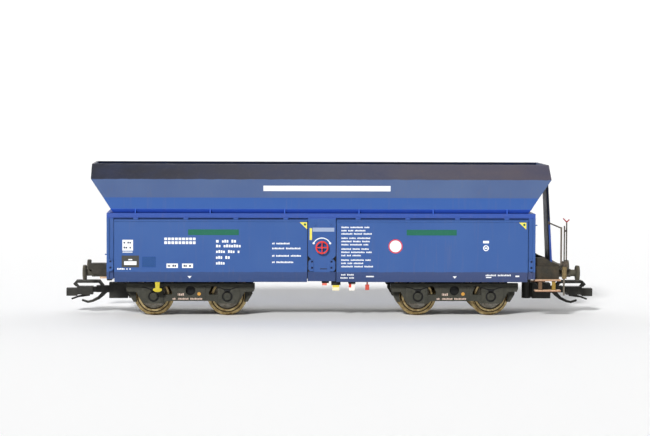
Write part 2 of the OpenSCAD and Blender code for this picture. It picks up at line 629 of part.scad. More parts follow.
module wheel() rotate([-90, 0, 0]) rotate_extrude() polygon([
    [axle_d / 2, back_y - 0.1], [1.45, back_y - 0.1], [1.6, back_y + 0.45], [2.5, back_y + 0.6],
    [2.7, back_y], [tread_r + flange_h - 0.15, back_y], [tread_r + flange_h, back_y + 0.15],
    [tread_r + flange_h, back_y + 0.3], [tread_r + flange_h - 0.2, back_y + 0.5],
    [tread_r + 0.1, back_y + 0.65], [tread_r, back_y + 0.9], [tread_r - 0.06, face_y - 0.1],
    [tread_r - 0.18, face_y], [tread_r - 0.75, face_y], [tread_r - 0.9, face_y - 0.6],
    [1.6, face_y - 0.75], [1.45, face_y + 0.1], [axle_d / 2, face_y + 0.1]]);

function axle_x(n) = pivots[n < 3 ? 0 : 1] + (n % 2 == 1 ? -1 : 1) * half_base;
module wheels(n) color("dimgray") translate([axle_x(n), 0, axle_z])
    for (s = [-1, 1]) to_side(s) wheel();

module axle(n) color("gray") translate([axle_x(n), 0, axle_z]) rotate([-90, 0, 0]) {
    r = axle_d / 2;
    end_y = frame_out_y - 0.45;
    rotate_extrude() polygon([[0, -end_y], [journal_d / 2 - 0.15, -end_y], [journal_d / 2, -end_y + 0.15],
        [journal_d / 2, -face_y - 0.2], [r, -face_y - 0.1], [r, face_y + 0.1],
        [journal_d / 2, face_y + 0.2], [journal_d / 2, end_y - 0.15],
        [journal_d / 2 - 0.15, end_y], [0, end_y]]);
}

// ---------- couplers ----------

pocket_x0 = coupler_pivot_x + 1.1;
pocket_x1 = head_x + 0.05;
shank_h = [3.55, 4.95];
shank_y = 0.8;
module coupler_pocket(end) color("black") to_end(end) difference() {
    union() {
        translate([coupler_pivot_x, 0, rail + pocket_low_h])
            cylinder(h = sill_low_h - 0.1 - pocket_low_h, r = boss_r);
        block([coupler_pivot_x, pocket_x0 + 0.3], [-0.6, 0.6], [pocket_low_h + 0.4, pocket_top_h]);
        block([pocket_x0, pocket_x1], [-pocket_w / 2, pocket_w / 2], [pocket_low_h, pocket_top_h]);
    }
    block([pocket_x0 + 0.5, pocket_x1 + 1], [-shank_y - 0.05, shank_y + 0.05],
          [shank_h[0] - 0.05, shank_h[1] + 0.05]);
    translate([coupler_pivot_x, 0, rail + sill_low_h - 2.1]) cylinder(h = 9, r = pin_d / 2 + run_gap);
}

module coupler_head(end) color("black") to_end(end) {
    x = coupler_tip_x;
    // Shank in the pocket, neck, and the head with its nose
    block([pocket_x0 + 0.55, x - 8], [-shank_y, shank_y], shank_h);
    block([x - 8, x - 6.2], [-0.9, 0.9], [3.6, 4.95]);
    block([x - 6.2, x - 5.5], [-0.6, 0.6], [3.6, 4.7]);
    block([x - 5.5, x - 2.2], [-1.2, 1.2], [3.15, 4.8]);
    block([x - 2.2, x], [-1, 1], [2.85, 4.45]);
    // Bow, a closed loop over the head
    for (s = [-1, 1]) to_side(s)
        along_y([[x - 7.8, 4.95], [x - 7.2, 4.95], [x - 6.7, 5.55], [x - 2.4, 5.55], [x - 2.1, 5.3],
                 [x - 2.55, 4.8], [x - 1.95, 4.8], [x - 1.4, 5.35], [x - 2.1, 6.1], [x - 6.9, 6.1]],
                0.7, 1.2);
    block([x - 2.5, x - 2.1], [-0.7, 0.7], [5.6, 6.1]);
    // Uncoupling dropper and the thin feeler
    along_y([[x - 8.5, 3.6], [x - 7.3, 3.6], [x - 6.4, 2.6], [x - 5.2, 1.95], [x - 4.4, 1.75], [x - 3.2, 2.1],
             [x - 3.1, 1.75], [x - 4.4, 1.3], [x - 5.4, 1.5], [x - 6.8, 2.1], [x - 7.8, 2.9]], -0.4, 0.4);
    along_y([[x - 4.8, 3.15], [x - 3.6, 3.15], [x - 2.4, 2.85], [x - 0.95, 2.3], [x - 1.1, 2],
             [x - 2.5, 2.5], [x - 4.8, 2.8]], -0.3, 0.3);
}

// ---------- nodes ----------

underframe();
saddle_webs();
flap_shafts();
coupler_pins();
headstock(-1);  // headstock_plain
headstock(1);  // headstock_brake
buffers();
lamp_box();
pivot_screws();
air_reservoir();
brake_cylinder();
saddle_floor();
hopper_side(-1);  // hopper_side_near
hopper_side(1);  // hopper_side_far
hopper_end(-1);  // hopper_end_plain
hopper_end(1);  // hopper_end_brake
chord(-1);  // chord_near
chord(1);  // chord_far
end_frame(-1);  // end_frame_plain
end_frame(1);  // end_frame_brake
flap(-1, -1);  // flap_near_plain
flap(-1, 1);  // flap_near_brake
flap(1, -1);  // flap_far_plain
flap(1, 1);  // flap_far_brake
post(-1, -1);  // post_near_plain
post(-1, 1);  // post_near_brake
post(1, -1);  // post_far_plain
post(1, 1);  // post_far_brake
centre_panel(-1);  // centre_panel_near
centre_panel(1);  // centre_panel_far
handwheel(-1);  // handwheel_near
handwheel(1);  // handwheel_far
platform_deck();
end_pillar();
platform_railing();
handbrake_column();
platform_steps(-1);  // platform_steps_near
platform_steps(1);  // platform_steps_far
brake_levers(-1);  // brake_levers_near
brake_levers(1);  // brake_levers_far
drag_shoe();
bogie_frame(0);  // bogie_frame_plain
bogie_frame(1);  // bogie_frame_brake
axleboxes(0);  // axleboxes_plain
axleboxes(1);  // axleboxes_brake
brake_shoes(0);  // brake_shoes_plain
brake_shoes(1);  // brake_shoes_brake
wheels(1);  // wheels_1
wheels(2);  // wheels_2
wheels(3);  // wheels_3
wheels(4);  // wheels_4
axle(1);  // axle_1
axle(2);  // axle_2
axle(3);  // axle_3
axle(4);  // axle_4
coupler_pocket(-1);  // coupler_pocket_plain
coupler_pocket(1);  // coupler_pocket_brake
coupler_head(-1);  // coupler_head_plain
coupler_head(1);  // coupler_head_brake
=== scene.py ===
"""Looks of the 1:120 hopper wagon model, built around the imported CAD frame."""
import json
import math

import bmesh
import bpy
from mathutils import Matrix, Vector


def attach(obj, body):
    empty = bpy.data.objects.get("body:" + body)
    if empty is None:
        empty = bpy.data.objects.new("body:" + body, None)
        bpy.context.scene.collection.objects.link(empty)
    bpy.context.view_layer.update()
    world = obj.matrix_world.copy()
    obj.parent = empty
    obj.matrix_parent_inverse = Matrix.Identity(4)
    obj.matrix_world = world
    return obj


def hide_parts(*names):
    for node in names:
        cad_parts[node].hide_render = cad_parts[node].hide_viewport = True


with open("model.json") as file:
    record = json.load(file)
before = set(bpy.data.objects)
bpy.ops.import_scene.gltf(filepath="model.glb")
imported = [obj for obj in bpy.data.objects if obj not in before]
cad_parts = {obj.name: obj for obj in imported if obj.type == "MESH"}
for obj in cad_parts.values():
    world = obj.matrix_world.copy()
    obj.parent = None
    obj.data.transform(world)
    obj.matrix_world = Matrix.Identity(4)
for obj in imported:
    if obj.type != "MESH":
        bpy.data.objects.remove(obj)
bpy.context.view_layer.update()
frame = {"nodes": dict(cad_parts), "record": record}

MM = 0.001
RAIL = 0.65          # height of the rail top above the flange bottoms, in mm
SIDES = (-1, 1)      # near side and far side

SLOT_OF = {row["node"]: row["material_slot"] for row in frame["record"]["subparts"]}
BODY_OF = {node: body for body, nodes in frame["record"]["behaviour"]["bodies"].items()
           for node in nodes}

# Pivots of the bogies and places of the axles along the wagon, in mm
JOINT_AT = {row["name"]: row["pos_m"] for row in frame["record"]["behaviour"]["joints"]}
PIVOTS = {end: JOINT_AT["bogie_turn_" + end][0] / MM for end in ("plain", "brake")}
AXLES = {number: JOINT_AT[f"wheelset_spin_{number}"][0] / MM for number in (1, 2, 3, 4)}
AXLE_H = JOINT_AT["wheelset_spin_1"][2] / MM - RAIL
HALF_BASE = PIVOTS["plain"] - AXLES[1]

# Heights of the folds of the body, in mm above the rail
WIDE_H, BREAK_H, NECK_H, CHORD_H, FOLD_H, FLAP_LOW_H = 27.6, 23.8, 21.5, 20.65, 8.8, 6.7
BODY_X = -2.35       # the middle of the body along the wagon


# ---------- colours and node helpers ----------

def srgb(r, g, b):
    """An 8-bit display colour as linear RGBA."""
    def linear(v):
        v /= 255
        return v / 12.92 if v <= 0.04045 else ((v + 0.055) / 1.055) ** 2.4
    return (linear(r), linear(g), linear(b), 1)


DUST = srgb(122, 106, 88)
# Dark colour of the painted shade in corners and crevices
CORNER_SHADE = srgb(26, 24, 24)


class Shader:
    """A Principled material with short calls for the nodes that these finishes share."""

    def __init__(self, name, roughness=0.5, metallic=0.0, specular=0.3):
        self.material = bpy.data.materials.new(name)
        self.material.use_nodes = True
        self.tree = self.material.node_tree
        self.shader = self.tree.nodes["Principled BSDF"]
        self.shader.inputs["Roughness"].default_value = roughness
        self.shader.inputs["Metallic"].default_value = metallic
        self.shader.inputs["Specular IOR Level"].default_value = specular
        self.place = self.add("ShaderNodeTexCoord").outputs["Object"]

    def add(self, kind, **values):
        node = self.tree.nodes.new(kind)
        for key, value in values.items():
            setattr(node, key, value)
        return node

    def link(self, source, socket):
        if hasattr(source, "is_output"):
            self.tree.links.new(source, socket)
        else:
            socket.default_value = source

    def noise(self, scale, detail=4.0, roughness=0.55, stretch=(1, 1, 1)):
        """Noise from 0 to 1; scale is in cycles per millimetre."""
        mapping = self.add("ShaderNodeMapping")
        mapping.inputs["Scale"].default_value = [s * scale / MM for s in stretch]
        self.link(self.place, mapping.inputs["Vector"])
        node = self.add("ShaderNodeTexNoise")
        node.inputs["Scale"].default_value = 1
        node.inputs["Detail"].default_value = detail
        node.inputs["Roughness"].default_value = roughness
        self.link(mapping.outputs[0], node.inputs["Vector"])
        return node.outputs["Fac"]

    def ramp(self, value, low, high, to_low=0.0, to_high=1.0):
        node = self.add("ShaderNodeMapRange", clamp=True)
        self.link(value, node.inputs["Value"])
        for name, number in (("From Min", low), ("From Max", high),
                             ("To Min", to_low), ("To Max", to_high)):
            node.inputs[name].default_value = number
        return node.outputs[0]

    def math(self, operation, a, b=0.0):
        node = self.add("ShaderNodeMath", operation=operation)
        self.link(a, node.inputs[0])
        self.link(b, node.inputs[1])
        return node.outputs[0]

    def axis(self, name):
        """One coordinate of the place on the model, in millimetres."""
        node = self.add("ShaderNodeSeparateXYZ")
        self.link(self.place, node.inputs[0])
        return self.math("MULTIPLY", node.outputs[name], 1 / MM)

    def height(self):
        """Height above the rail, in millimetres."""
        return self.math("SUBTRACT", self.axis("Z"), RAIL)

    def mix(self, share, a, b):
        node = self.add("ShaderNodeMix", data_type="RGBA")
        self.link(share, node.inputs["Factor"])
        self.link(a, node.inputs[6])
        self.link(b, node.inputs[7])
        return node.outputs[2]

    def pick(self, share, a, b):
        """A number that goes from a to b."""
        return self.math("ADD", a, self.math("MULTIPLY", share, self.math("SUBTRACT", b, a)))

    def patches(self, scale, detail, a, b, low=0.4, high=0.7):
        """Soft patches of colour b in colour a."""
        return self.mix(self.ramp(self.noise(scale, detail), low, high), a, b)

    def hollows(self, distance):
        """1 in corners and crevices, 0 on open faces."""
        node = self.add("ShaderNodeAmbientOcclusion", samples=6, only_local=False)
        node.inputs["Distance"].default_value = distance * MM
        return self.math("SUBTRACT", 1.0, node.outputs["AO"])

    def darken_corners(self, colour, low, high, share, dark=CORNER_SHADE, distance=0.5):
        """The colour with painted shade in corners and crevices, dark by up to a share."""
        return self.mix(self.ramp(self.hollows(distance), low, high, 0.0, share), colour, dark)

    def up(self):
        """1 on faces that look up, 0 on upright and hanging ones."""
        node = self.add("ShaderNodeSeparateXYZ")
        self.link(self.add("ShaderNodeNewGeometry").outputs["Normal"], node.inputs[0])
        return self.ramp(node.outputs["Z"], 0.2, 0.95)

    def colour(self, value):
        self.link(value, self.shader.inputs["Base Color"])

    def rough(self, scale, detail, low, high):
        """Roughness that wanders between two values."""
        value = self.ramp(self.noise(scale, detail), 0.3, 0.7, low, high)
        self.link(value, self.shader.inputs["Roughness"])

    def bump(self, height, strength, depth):
        """Bump of a height from 0 to 1, depth in millimetres."""
        node = self.add("ShaderNodeBump")
        node.inputs["Strength"].default_value = strength
        node.inputs["Distance"].default_value = depth * MM
        self.link(height, node.inputs["Height"])
        self.link(node.outputs[0], self.shader.inputs["Normal"])


# ---------- finishes ----------

def body_paint(name):
    """Blue body paint: paler and greyer on the leaning side, a dark band under the rim, painted shade on
    the foot and in corners.
    """
    m = Shader(name, 0.4)
    h = m.height()
    x = m.axis("X")
    wobble = m.math("MULTIPLY", m.math("SUBTRACT", m.noise(0.5, 4), 0.5), 0.35)
    edge = m.math("ADD", h, wobble)
    # Bands of blue from the foot of the flaps to the break of the side
    colour = m.patches(0.07, 3, srgb(50, 84, 144), srgb(56, 89, 147), 0.35, 0.65)
    # Painted shade: a darker blue on the foot that leans in under the flaps, greyer towards the brake end
    foot = m.mix(m.ramp(x, -20, 40), srgb(51, 73, 119), srgb(58, 70, 107))
    colour = m.mix(m.ramp(edge, FOLD_H - 0.05, FOLD_H + 0.05, 1.0, 0.0), colour, foot)
    colour = m.mix(m.ramp(h, 19.3, 19.8), colour, srgb(50, 80, 156))
    colour = m.mix(m.ramp(h, CHORD_H - 0.04, CHORD_H + 0.04), colour, srgb(52, 92, 190))
    colour = m.mix(m.ramp(h, NECK_H - 0.05, NECK_H + 0.1), colour, srgb(49, 87, 153))
    # The paler, greyer leaning side, and the dark band under the rim: darkest at the plain end, browner
    # towards the brake end, with bluer patches
    paler_grey = m.patches(0.05, 4, srgb(79, 99, 138), srgb(70, 90, 132), 0.35, 0.65)
    colour = m.mix(m.ramp(h, BREAK_H - 0.02, BREAK_H + 0.06), colour, paler_grey)
    darkening = m.mix(m.ramp(x, -44, 10), srgb(34, 35, 44), srgb(74, 75, 90))
    darkening = m.mix(m.ramp(x, 0, 40), darkening, srgb(80, 74, 84))
    bluer_patches = m.ramp(m.noise(0.12, 5, 0.6, (1, 1, 2)), 0.4, 0.7, 0.0, 0.4)
    darkening = m.mix(bluer_patches, darkening, srgb(44, 54, 88))
    colour = m.mix(m.ramp(edge, WIDE_H - 0.12, WIDE_H + 0.06), colour, darkening)
    streaks = m.ramp(m.noise(1.4, 5, 0.6, (1, 1, 0.08)), 0.55, 0.8, 0.0, 0.14)
    colour = m.mix(streaks, colour, DUST)
    speckle = m.ramp(m.noise(7, 4, 0.7), 0.62, 0.8, 0.0, 0.12)
    colour = m.mix(speckle, colour, DUST)
    # Painted shade in corners and crevices, in a dark blue
    m.colour(m.darken_corners(colour, 0.45, 0.95, 0.5, srgb(16, 28, 66)))
    m.rough(2.5, 4, 0.36, 0.52)
    m.bump(m.noise(9, 3), 0.2, 0.01)
    return m.material


def inside_paint(name):
    """The inside of the hopper: worn blue with brown load dust gathering lower down."""
    m = Shader(name, 0.65)
    wear = m.ramp(m.noise(0.25, 6, 0.65), 0.35, 0.65)
    worn = m.mix(wear, srgb(70, 92, 140), srgb(96, 104, 122))
    wavy_height = m.math("ADD", m.height(), m.math("MULTIPLY", m.noise(0.3, 5), 9))
    colour = m.mix(m.ramp(wavy_height, 16, 30, 0.85, 0.12), worn, srgb(88, 78, 68))
    scratches = m.ramp(m.noise(2.2, 5, 0.7, (1, 1, 0.1)), 0.56, 0.75, 0.0, 0.4)
    colour = m.mix(scratches, colour, srgb(126, 118, 108))
    # Painted shade in corners and crevices
    m.colour(m.darken_corners(colour, 0.3, 0.9, 0.6, distance=1.2))
    m.bump(m.noise(5, 5, 0.7), 0.4, 0.03)
    return m.material


def painted_plastic(name, base, dust=0.2, darkening=0.6, roughness=0.42):
    """Moulded plastic, sprayed and lightly weathered, with painted shade in its corners."""
    m = Shader(name, roughness)
    darker = tuple(c * 0.82 for c in base[:3]) + (1,)
    colour = m.patches(0.2, 3, base, darker, 0.35, 0.65)
    streaks = m.ramp(m.noise(0.9, 5, 0.6, (1, 1, 0.12)), 0.52, 0.78, 0.0, dust)
    colour = m.mix(streaks, colour, DUST)
    speckle = m.ramp(m.noise(6, 4, 0.7), 0.6, 0.8, 0.0, dust * 0.7)
    colour = m.mix(speckle, colour, DUST)
    # Painted shade in corners and crevices
    m.colour(m.darken_corners(colour, 0.25, 0.85, darkening))
    m.rough(2.5, 4, roughness - 0.06, roughness + 0.1)
    m.bump(m.noise(9, 3), 0.25, 0.012)
    return m.material


def dusty_plastic(name, base, dust_colour=DUST, dust=0.45, roughness=0.6):
    """Matt plastic of the running gear, dry-brushed with brown dust, with painted shade in its corners."""
    m = Shader(name, roughness, specular=0.35)
    settled_in_patches = m.ramp(m.noise(0.7, 5, 0.65), 0.42, 0.75, 0.0, dust)
    colour = m.mix(settled_in_patches, base, dust_colour)
    settled_on_top = m.math("MULTIPLY", m.up(), dust * 0.9)
    colour = m.mix(settled_on_top, colour, dust_colour)
    speckle = m.ramp(m.noise(7, 4, 0.7), 0.55, 0.8, 0.0, 0.3)
    colour = m.mix(speckle, colour, dust_colour)
    # Painted shade in corners and crevices
    m.colour(m.darken_corners(colour, 0.3, 0.9, 0.85))
    m.rough(3, 4, roughness - 0.08, roughness + 0.15)
    m.bump(m.noise(8, 4), 0.5, 0.02)
    return m.material


def turned_metal(name, base, stain, roughness=0.32):
    """Turned metal with fine rings of tooling and brown stain."""
    m = Shader(name, roughness, metallic=1.0)
    stains = m.ramp(m.noise(1.1, 5, 0.65), 0.45, 0.7, 0.0, 0.7)
    m.colour(m.mix(stains, base, stain))
    m.rough(4, 4, roughness - 0.08, roughness + 0.2)
    m.bump(m.noise(14, 2, 0.5, (0.1, 1, 1)), 0.3, 0.01)
    return m.material


def wheel_metal(name, axle_x):
    """A turned wheel: bright brassy rim, a dark ring of painted shade in the groove, nickel disc, all with
    brown stain.
    """
    m = Shader(name, 0.3)
    dx = m.math("SUBTRACT", m.axis("X"), axle_x)
    dz = m.math("SUBTRACT", m.axis("Z"), AXLE_H + RAIL)
    radius = m.math("SQRT", m.math("ADD", m.math("MULTIPLY", dx, dx), m.math("MULTIPLY", dz, dz)))
    disc = m.patches(0.9, 5, srgb(214, 208, 194), srgb(168, 156, 134))
    brass = m.patches(1.3, 5, srgb(196, 176, 128), srgb(132, 108, 70))
    m.link(m.ramp(radius, 2.5, 2.7, 0.25, 0.9), m.shader.inputs["Metallic"])
    # Painted shade: a dark ring in the groove where the recess of the disc begins
    colour = m.mix(m.ramp(radius, 2.62, 2.7), disc, srgb(36, 28, 22))
    colour = m.mix(m.ramp(radius, 2.76, 2.84), colour, brass)
    rim_line = m.math("MULTIPLY", m.ramp(radius, 3.16, 3.22), m.ramp(radius, 3.38, 3.44, 1.0, 0.0))
    colour = m.mix(rim_line, colour, srgb(48, 38, 28))
    colour = m.mix(m.ramp(radius, 1.55, 1.7, 1.0, 0.0), colour, srgb(96, 88, 76))
    stains = m.ramp(m.noise(2.2, 5, 0.65), 0.5, 0.75, 0.0, 0.6)
    m.colour(m.mix(stains, colour, srgb(84, 66, 48)))
    m.rough(4, 4, 0.24, 0.5)
    rings = m.math("SINE", m.math("MULTIPLY", radius, 90))
    m.bump(m.ramp(rings, -1, 1), 0.25, 0.006)
    return m.material


def lever_paint(name):
    """Hanging levers: a dark root each, then a plate of its own colour."""
    m = Shader(name, 0.45)
    h = m.height()
    x = m.math("ABSOLUTE", m.math("SUBTRACT", m.axis("X"), BODY_X))
    second, third, fourth = (m.math("GREATER_THAN", x, at) for at in (1.8, 4.6, 8))
    salmon = m.mix(m.math("GREATER_THAN", x, 1.1), srgb(226, 116, 96), srgb(240, 232, 218))
    cream = m.mix(m.math("GREATER_THAN", h, 5.55), srgb(240, 226, 186), srgb(222, 200, 74))
    red_tip = m.math("MULTIPLY", m.math("LESS_THAN", x, 6.1), m.math("GREATER_THAN", h, 5.5))
    white = m.mix(red_tip, srgb(242, 236, 224), srgb(220, 62, 38))
    colour = m.mix(second, salmon, cream)
    colour = m.mix(third, colour, white)
    colour = m.mix(fourth, colour, srgb(196, 74, 60))
    root = m.pick(second, 6.4, 5.98)
    for step, height in ((third, 6.27), (fourth, 6.9)):
        root = m.pick(step, root, height)
    grain = m.ramp(m.noise(5, 4), 0.45, 0.75, 0.0, 0.25)
    colour = m.mix(grain, colour, DUST)
    m.colour(m.mix(m.math("GREATER_THAN", h, root), colour, srgb(30, 30, 28)))
    m.bump(m.noise(9, 3), 0.2, 0.01)
    return m.material


def column_paint(name):
    """Handbrake column: brown metal posts, a brassy bracket and a red crank handle."""
    m = Shader(name, 0.42)
    h = m.height()
    colour = m.patches(2, 5, srgb(50, 45, 39), srgb(100, 88, 76))
    brass = m.patches(3, 5, srgb(126, 108, 70), srgb(88, 76, 56))
    colour = m.mix(m.ramp(h, 9.72, 9.8, 1.0, 0.0), colour, brass)
    colour = m.mix(m.ramp(h, 7.1, 7.3, 1.0, 0.0), colour, srgb(104, 98, 88))
    m.colour(m.mix(m.ramp(h, 18.75, 19.0), colour, srgb(156, 46, 48)))
    m.rough(4, 3, 0.35, 0.55)
    m.bump(m.noise(8, 4), 0.35, 0.015)
    return m.material


def pillar_paint(name):
    """Pillar of the brake end: nearly black for painted shade on its faces, its blue paint showing only on
    the outer edge up to the railing.
    """
    m = Shader(name, 0.42)
    h = m.height()
    lean = m.math("MULTIPLY", m.math("SUBTRACT", h, 10.1), 0.054)
    edge = m.ramp(m.math("ADD", m.axis("X"), lean), 45.56, 45.64)
    edge = m.math("MULTIPLY", edge, m.ramp(h, 18.1, 19.2, 1.0, 0.12))
    # Painted shade: near black over the pillar, the blue paint kept only on its outer edge
    colour = m.patches(0.8, 5, srgb(7, 10, 20), srgb(13, 16, 26))
    colour = m.mix(edge, colour, srgb(44, 74, 150))
    dust = m.ramp(m.noise(5, 5, 0.7), 0.6, 0.8, 0.0, 0.2)
    m.colour(m.mix(dust, colour, DUST))
    m.rough(3, 4, 0.36, 0.52)
    m.bump(m.noise(9, 3), 0.25, 0.012)
    return m.material


def step_paint(name):
    """Steps: copper boards with a pale painted highlight along the top edge of each, brown and gold straps
    between them, painted shade in the corners.
    """
    m = Shader(name, 0.45)
    h = m.height()
    strap = m.math("MULTIPLY", m.math("GREATER_THAN", h, 5.12), m.math("LESS_THAN", h, 6.92))
    # Painted highlight: a pale band along the top edge of each board
    board = m.math("MULTIPLY", m.math("GREATER_THAN", h, 6), 2.15)
    edge = m.ramp(m.math("SUBTRACT", h, board), 4.9, 4.98)
    wood = m.patches(1.2, 5, srgb(150, 112, 90), srgb(122, 88, 68))
    pale = m.patches(2, 5, srgb(206, 174, 144), srgb(178, 134, 100))
    straps = m.mix(m.math("GREATER_THAN", m.axis("X"), 43.9), srgb(104, 80, 58), srgb(146, 118, 50))
    colour = m.mix(strap, m.mix(edge, wood, pale), straps)
    # Painted shade in corners and crevices
    m.colour(m.darken_corners(colour, 0.25, 0.85, 0.6))
    m.rough(4, 3, 0.38, 0.55)
    m.bump(m.noise(8, 4), 0.3, 0.015)
    return m.material


def print_ink(name, base, wear=0.25):
    """Printed marking with the body's grain showing through a little; also used for painted shade and
    shadow.
    """
    m = Shader(name, 0.45)
    worn = m.ramp(m.noise(3.5, 5, 0.7), 0.55, 0.8, 0.0, wear)
    m.colour(m.mix(worn, base, srgb(96, 112, 150)))
    m.rough(4, 3, 0.38, 0.55)
    m.bump(m.noise(9, 3), 0.15, 0.006)
    return m.material


MATERIALS = {
    "body_blue": body_paint("paint_blue"),
    "pillar_blue": pillar_paint("paint_pillar"),
    "frame_grey": dusty_plastic("plastic_brown_grey", srgb(45, 43, 36), srgb(90, 82, 68), 0.33),
    "bogie_grey": dusty_plastic("plastic_bogie", srgb(50, 50, 42), srgb(84, 80, 66), 0.3),
    "coupler_black": dusty_plastic("plastic_black", srgb(34, 34, 31), srgb(78, 74, 62), 0.25, 0.5),
    "wheel_dark": turned_metal("metal_wheel", srgb(206, 190, 146), srgb(84, 66, 48)),
    "bright_metal": turned_metal("metal_bright", srgb(180, 176, 168), srgb(112, 98, 84)),
    "signal_red": painted_plastic("paint_red", srgb(222, 60, 48), 0.08, 0.3),
    "lever_yellow": painted_plastic("paint_yellow", srgb(196, 178, 50), 0.2, 0.5),
    "step_copper": step_paint("paint_copper"),
}
INSIDE = inside_paint("paint_inside")
BLACK = dusty_plastic("plastic_coupler", srgb(26, 26, 25), srgb(66, 62, 52), 0.2, 0.42)

# Nodes with a finish of their own
OWN_MATERIALS = {
    "buffers": dusty_plastic("plastic_buffers", srgb(66, 64, 54), srgb(116, 106, 88), 0.4),
    "handbrake_column": column_paint("paint_column"),
    "platform_deck": dusty_plastic("plastic_deck", srgb(42, 40, 33), srgb(98, 80, 52), 0.36),
    "platform_railing": painted_plastic("paint_railing", srgb(98, 88, 78), 0.3),
    "saddle_floor": INSIDE,
}
for node in ("brake_levers_near", "brake_levers_far"):
    OWN_MATERIALS[node] = lever_paint("paint_" + node)
for number, axle_x in AXLES.items():
    OWN_MATERIALS[f"wheels_{number}"] = wheel_metal(f"metal_wheels_{number}", axle_x)

WHITE_INK = print_ink("ink_white", srgb(236, 238, 240))
PALE_INK = print_ink("ink_pale", srgb(150, 164, 190))
GREEN_INK = print_ink("ink_green", srgb(26, 98, 76), 0.2)
# Painted shadow for the recesses of the bogies, laid on like a print
SHADOW_INK = print_ink("ink_shadow", srgb(10, 10, 11), 0.03)
# Deep blue for the dark dashes of the lettering, and painted shade in the latch holes
DEEP_BLUE_INK_AND_SHADE = print_ink("ink_and_shade_deep_blue", srgb(12, 24, 62), 0.05)
YELLOW_INK = print_ink("ink_yellow", srgb(226, 214, 92), 0.1)
RED_INK = print_ink("ink_red", srgb(214, 58, 60), 0.1)
DARK_INK = print_ink("ink_dark", srgb(66, 66, 62), 0.1)
BLUE_INK = print_ink("ink_blue", srgb(36, 74, 138), 0.1)
DEEP_TEAL_INK = print_ink("ink_teal", srgb(30, 74, 118), 0.2)
ORANGE_INK = print_ink("ink_orange", srgb(196, 142, 60), 0.2)
PINK_INK = print_ink("ink_dusty_white", srgb(196, 172, 156), 0.3)


def material_of(node):
    return OWN_MATERIALS.get(node, MATERIALS[SLOT_OF[node]])


# ---------- meshes ----------

def finish_piece(bm, name, material, body, smooth=40):
    """Turns a bmesh into a piece that rides on a body."""
    bmesh.ops.recalc_face_normals(bm, faces=bm.faces)
    mesh = bpy.data.meshes.new(name)
    bm.to_mesh(mesh)
    bm.free()
    if smooth:
        mesh.shade_smooth()
        mesh.set_sharp_from_angle(angle=math.radians(smooth))
    piece = bpy.data.objects.new(name, mesh)
    bpy.context.scene.collection.objects.link(piece)
    mesh.materials.append(material)
    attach(piece, body)
    return piece


def rounded_copy(node, width, inside=None):
    """A copy of a CAD node with its sharp edges rounded; it stands for the node."""
    source = frame["nodes"][node]
    bm = bmesh.new()
    bm.from_mesh(source.data)
    bmesh.ops.remove_doubles(bm, verts=bm.verts, dist=0.0005 * MM)
    bmesh.ops.dissolve_limit(bm, angle_limit=math.radians(0.5), verts=bm.verts, edges=bm.edges)
    sharp = [e for e in bm.edges if len(e.link_faces) == 2 and e.calc_face_angle(0) > math.radians(25)]
    bmesh.ops.bevel(bm, geom=sharp, offset=width * MM, segments=2, profile=0.6,
                    affect="EDGES", clamp_overlap=True)
    bmesh.ops.triangulate(bm, faces=[f for f in bm.faces if len(f.verts) > 4])
    piece = finish_piece(bm, node + "_rounded", material_of(node), BODY_OF[node], 50)
    piece.modifiers.new("weighted", "WEIGHTED_NORMAL").keep_sharp = True
    if inside:
        piece.data.materials.append(INSIDE)
        for face in piece.data.polygons:
            if inside(face.center / MM, face.normal):
                face.material_index = 1
    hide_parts(node)


def box_mesh(bm, corner, opposite, round_by=0.0):
    """A box between two opposite corners in mm, heights above the rail."""
    size = [abs(b - a) * MM for a, b in zip(corner, opposite)]
    middle = [(a + b) / 2 * MM for a, b in zip(corner, opposite)]
    middle[2] += RAIL * MM
    placed = Matrix.Translation(middle) @ Matrix.Diagonal(size + [1])
    made = bmesh.ops.create_cube(bm, size=1, matrix=placed)
    if round_by:
        edges = list({e for v in made["verts"] for e in v.link_edges})
        bmesh.ops.bevel(bm, geom=edges, offset=round_by * MM, segments=2, profile=0.6, affect="EDGES")


def rod_mesh(bm, start, end, radius, segments=16):
    """A round bar between two points in mm, heights above the rail."""
    a, b = Vector(start) * MM, Vector(end) * MM
    a.z += RAIL * MM
    b.z += RAIL * MM
    along = b - a
    turn = along.to_track_quat("Z", "Y").to_matrix().to_4x4()
    bmesh.ops.create_cone(bm, cap_ends=True, segments=segments, radius1=radius * MM, radius2=radius * MM,
                          depth=along.length, matrix=Matrix.Translation((a + b) / 2) @ turn)


# ---------- printed markings ----------

# Flat faces that carry markings: two heights above the rail and the half width at each
FLAP_FACE = ((FOLD_H, 12.4), (19.0, 12.4))
FOOT_FACE = ((FLAP_LOW_H, 11.75), (FOLD_H, 12.4))
LEAN_FACE = ((BREAK_H, 11.4), (WIDE_H, 12.35))
PANEL_FACE = ((10.0, 12.1), (19.0, 12.1))
SILL_FACE = ((2.0, 9.3), (6.0, 9.3))
HOLE_FACE = ((2.0, 8.4), (6.0, 8.4))
LATCH_FACE = ((9.0, 12.15), (12.0, 12.15))
NECK_FACE = ((9.0, 12.05), (12.0, 12.05))
INK_T = 0.02         # thickness of one layer of ink
INK_GAP = 0.004      # clearance of the first layer from its face


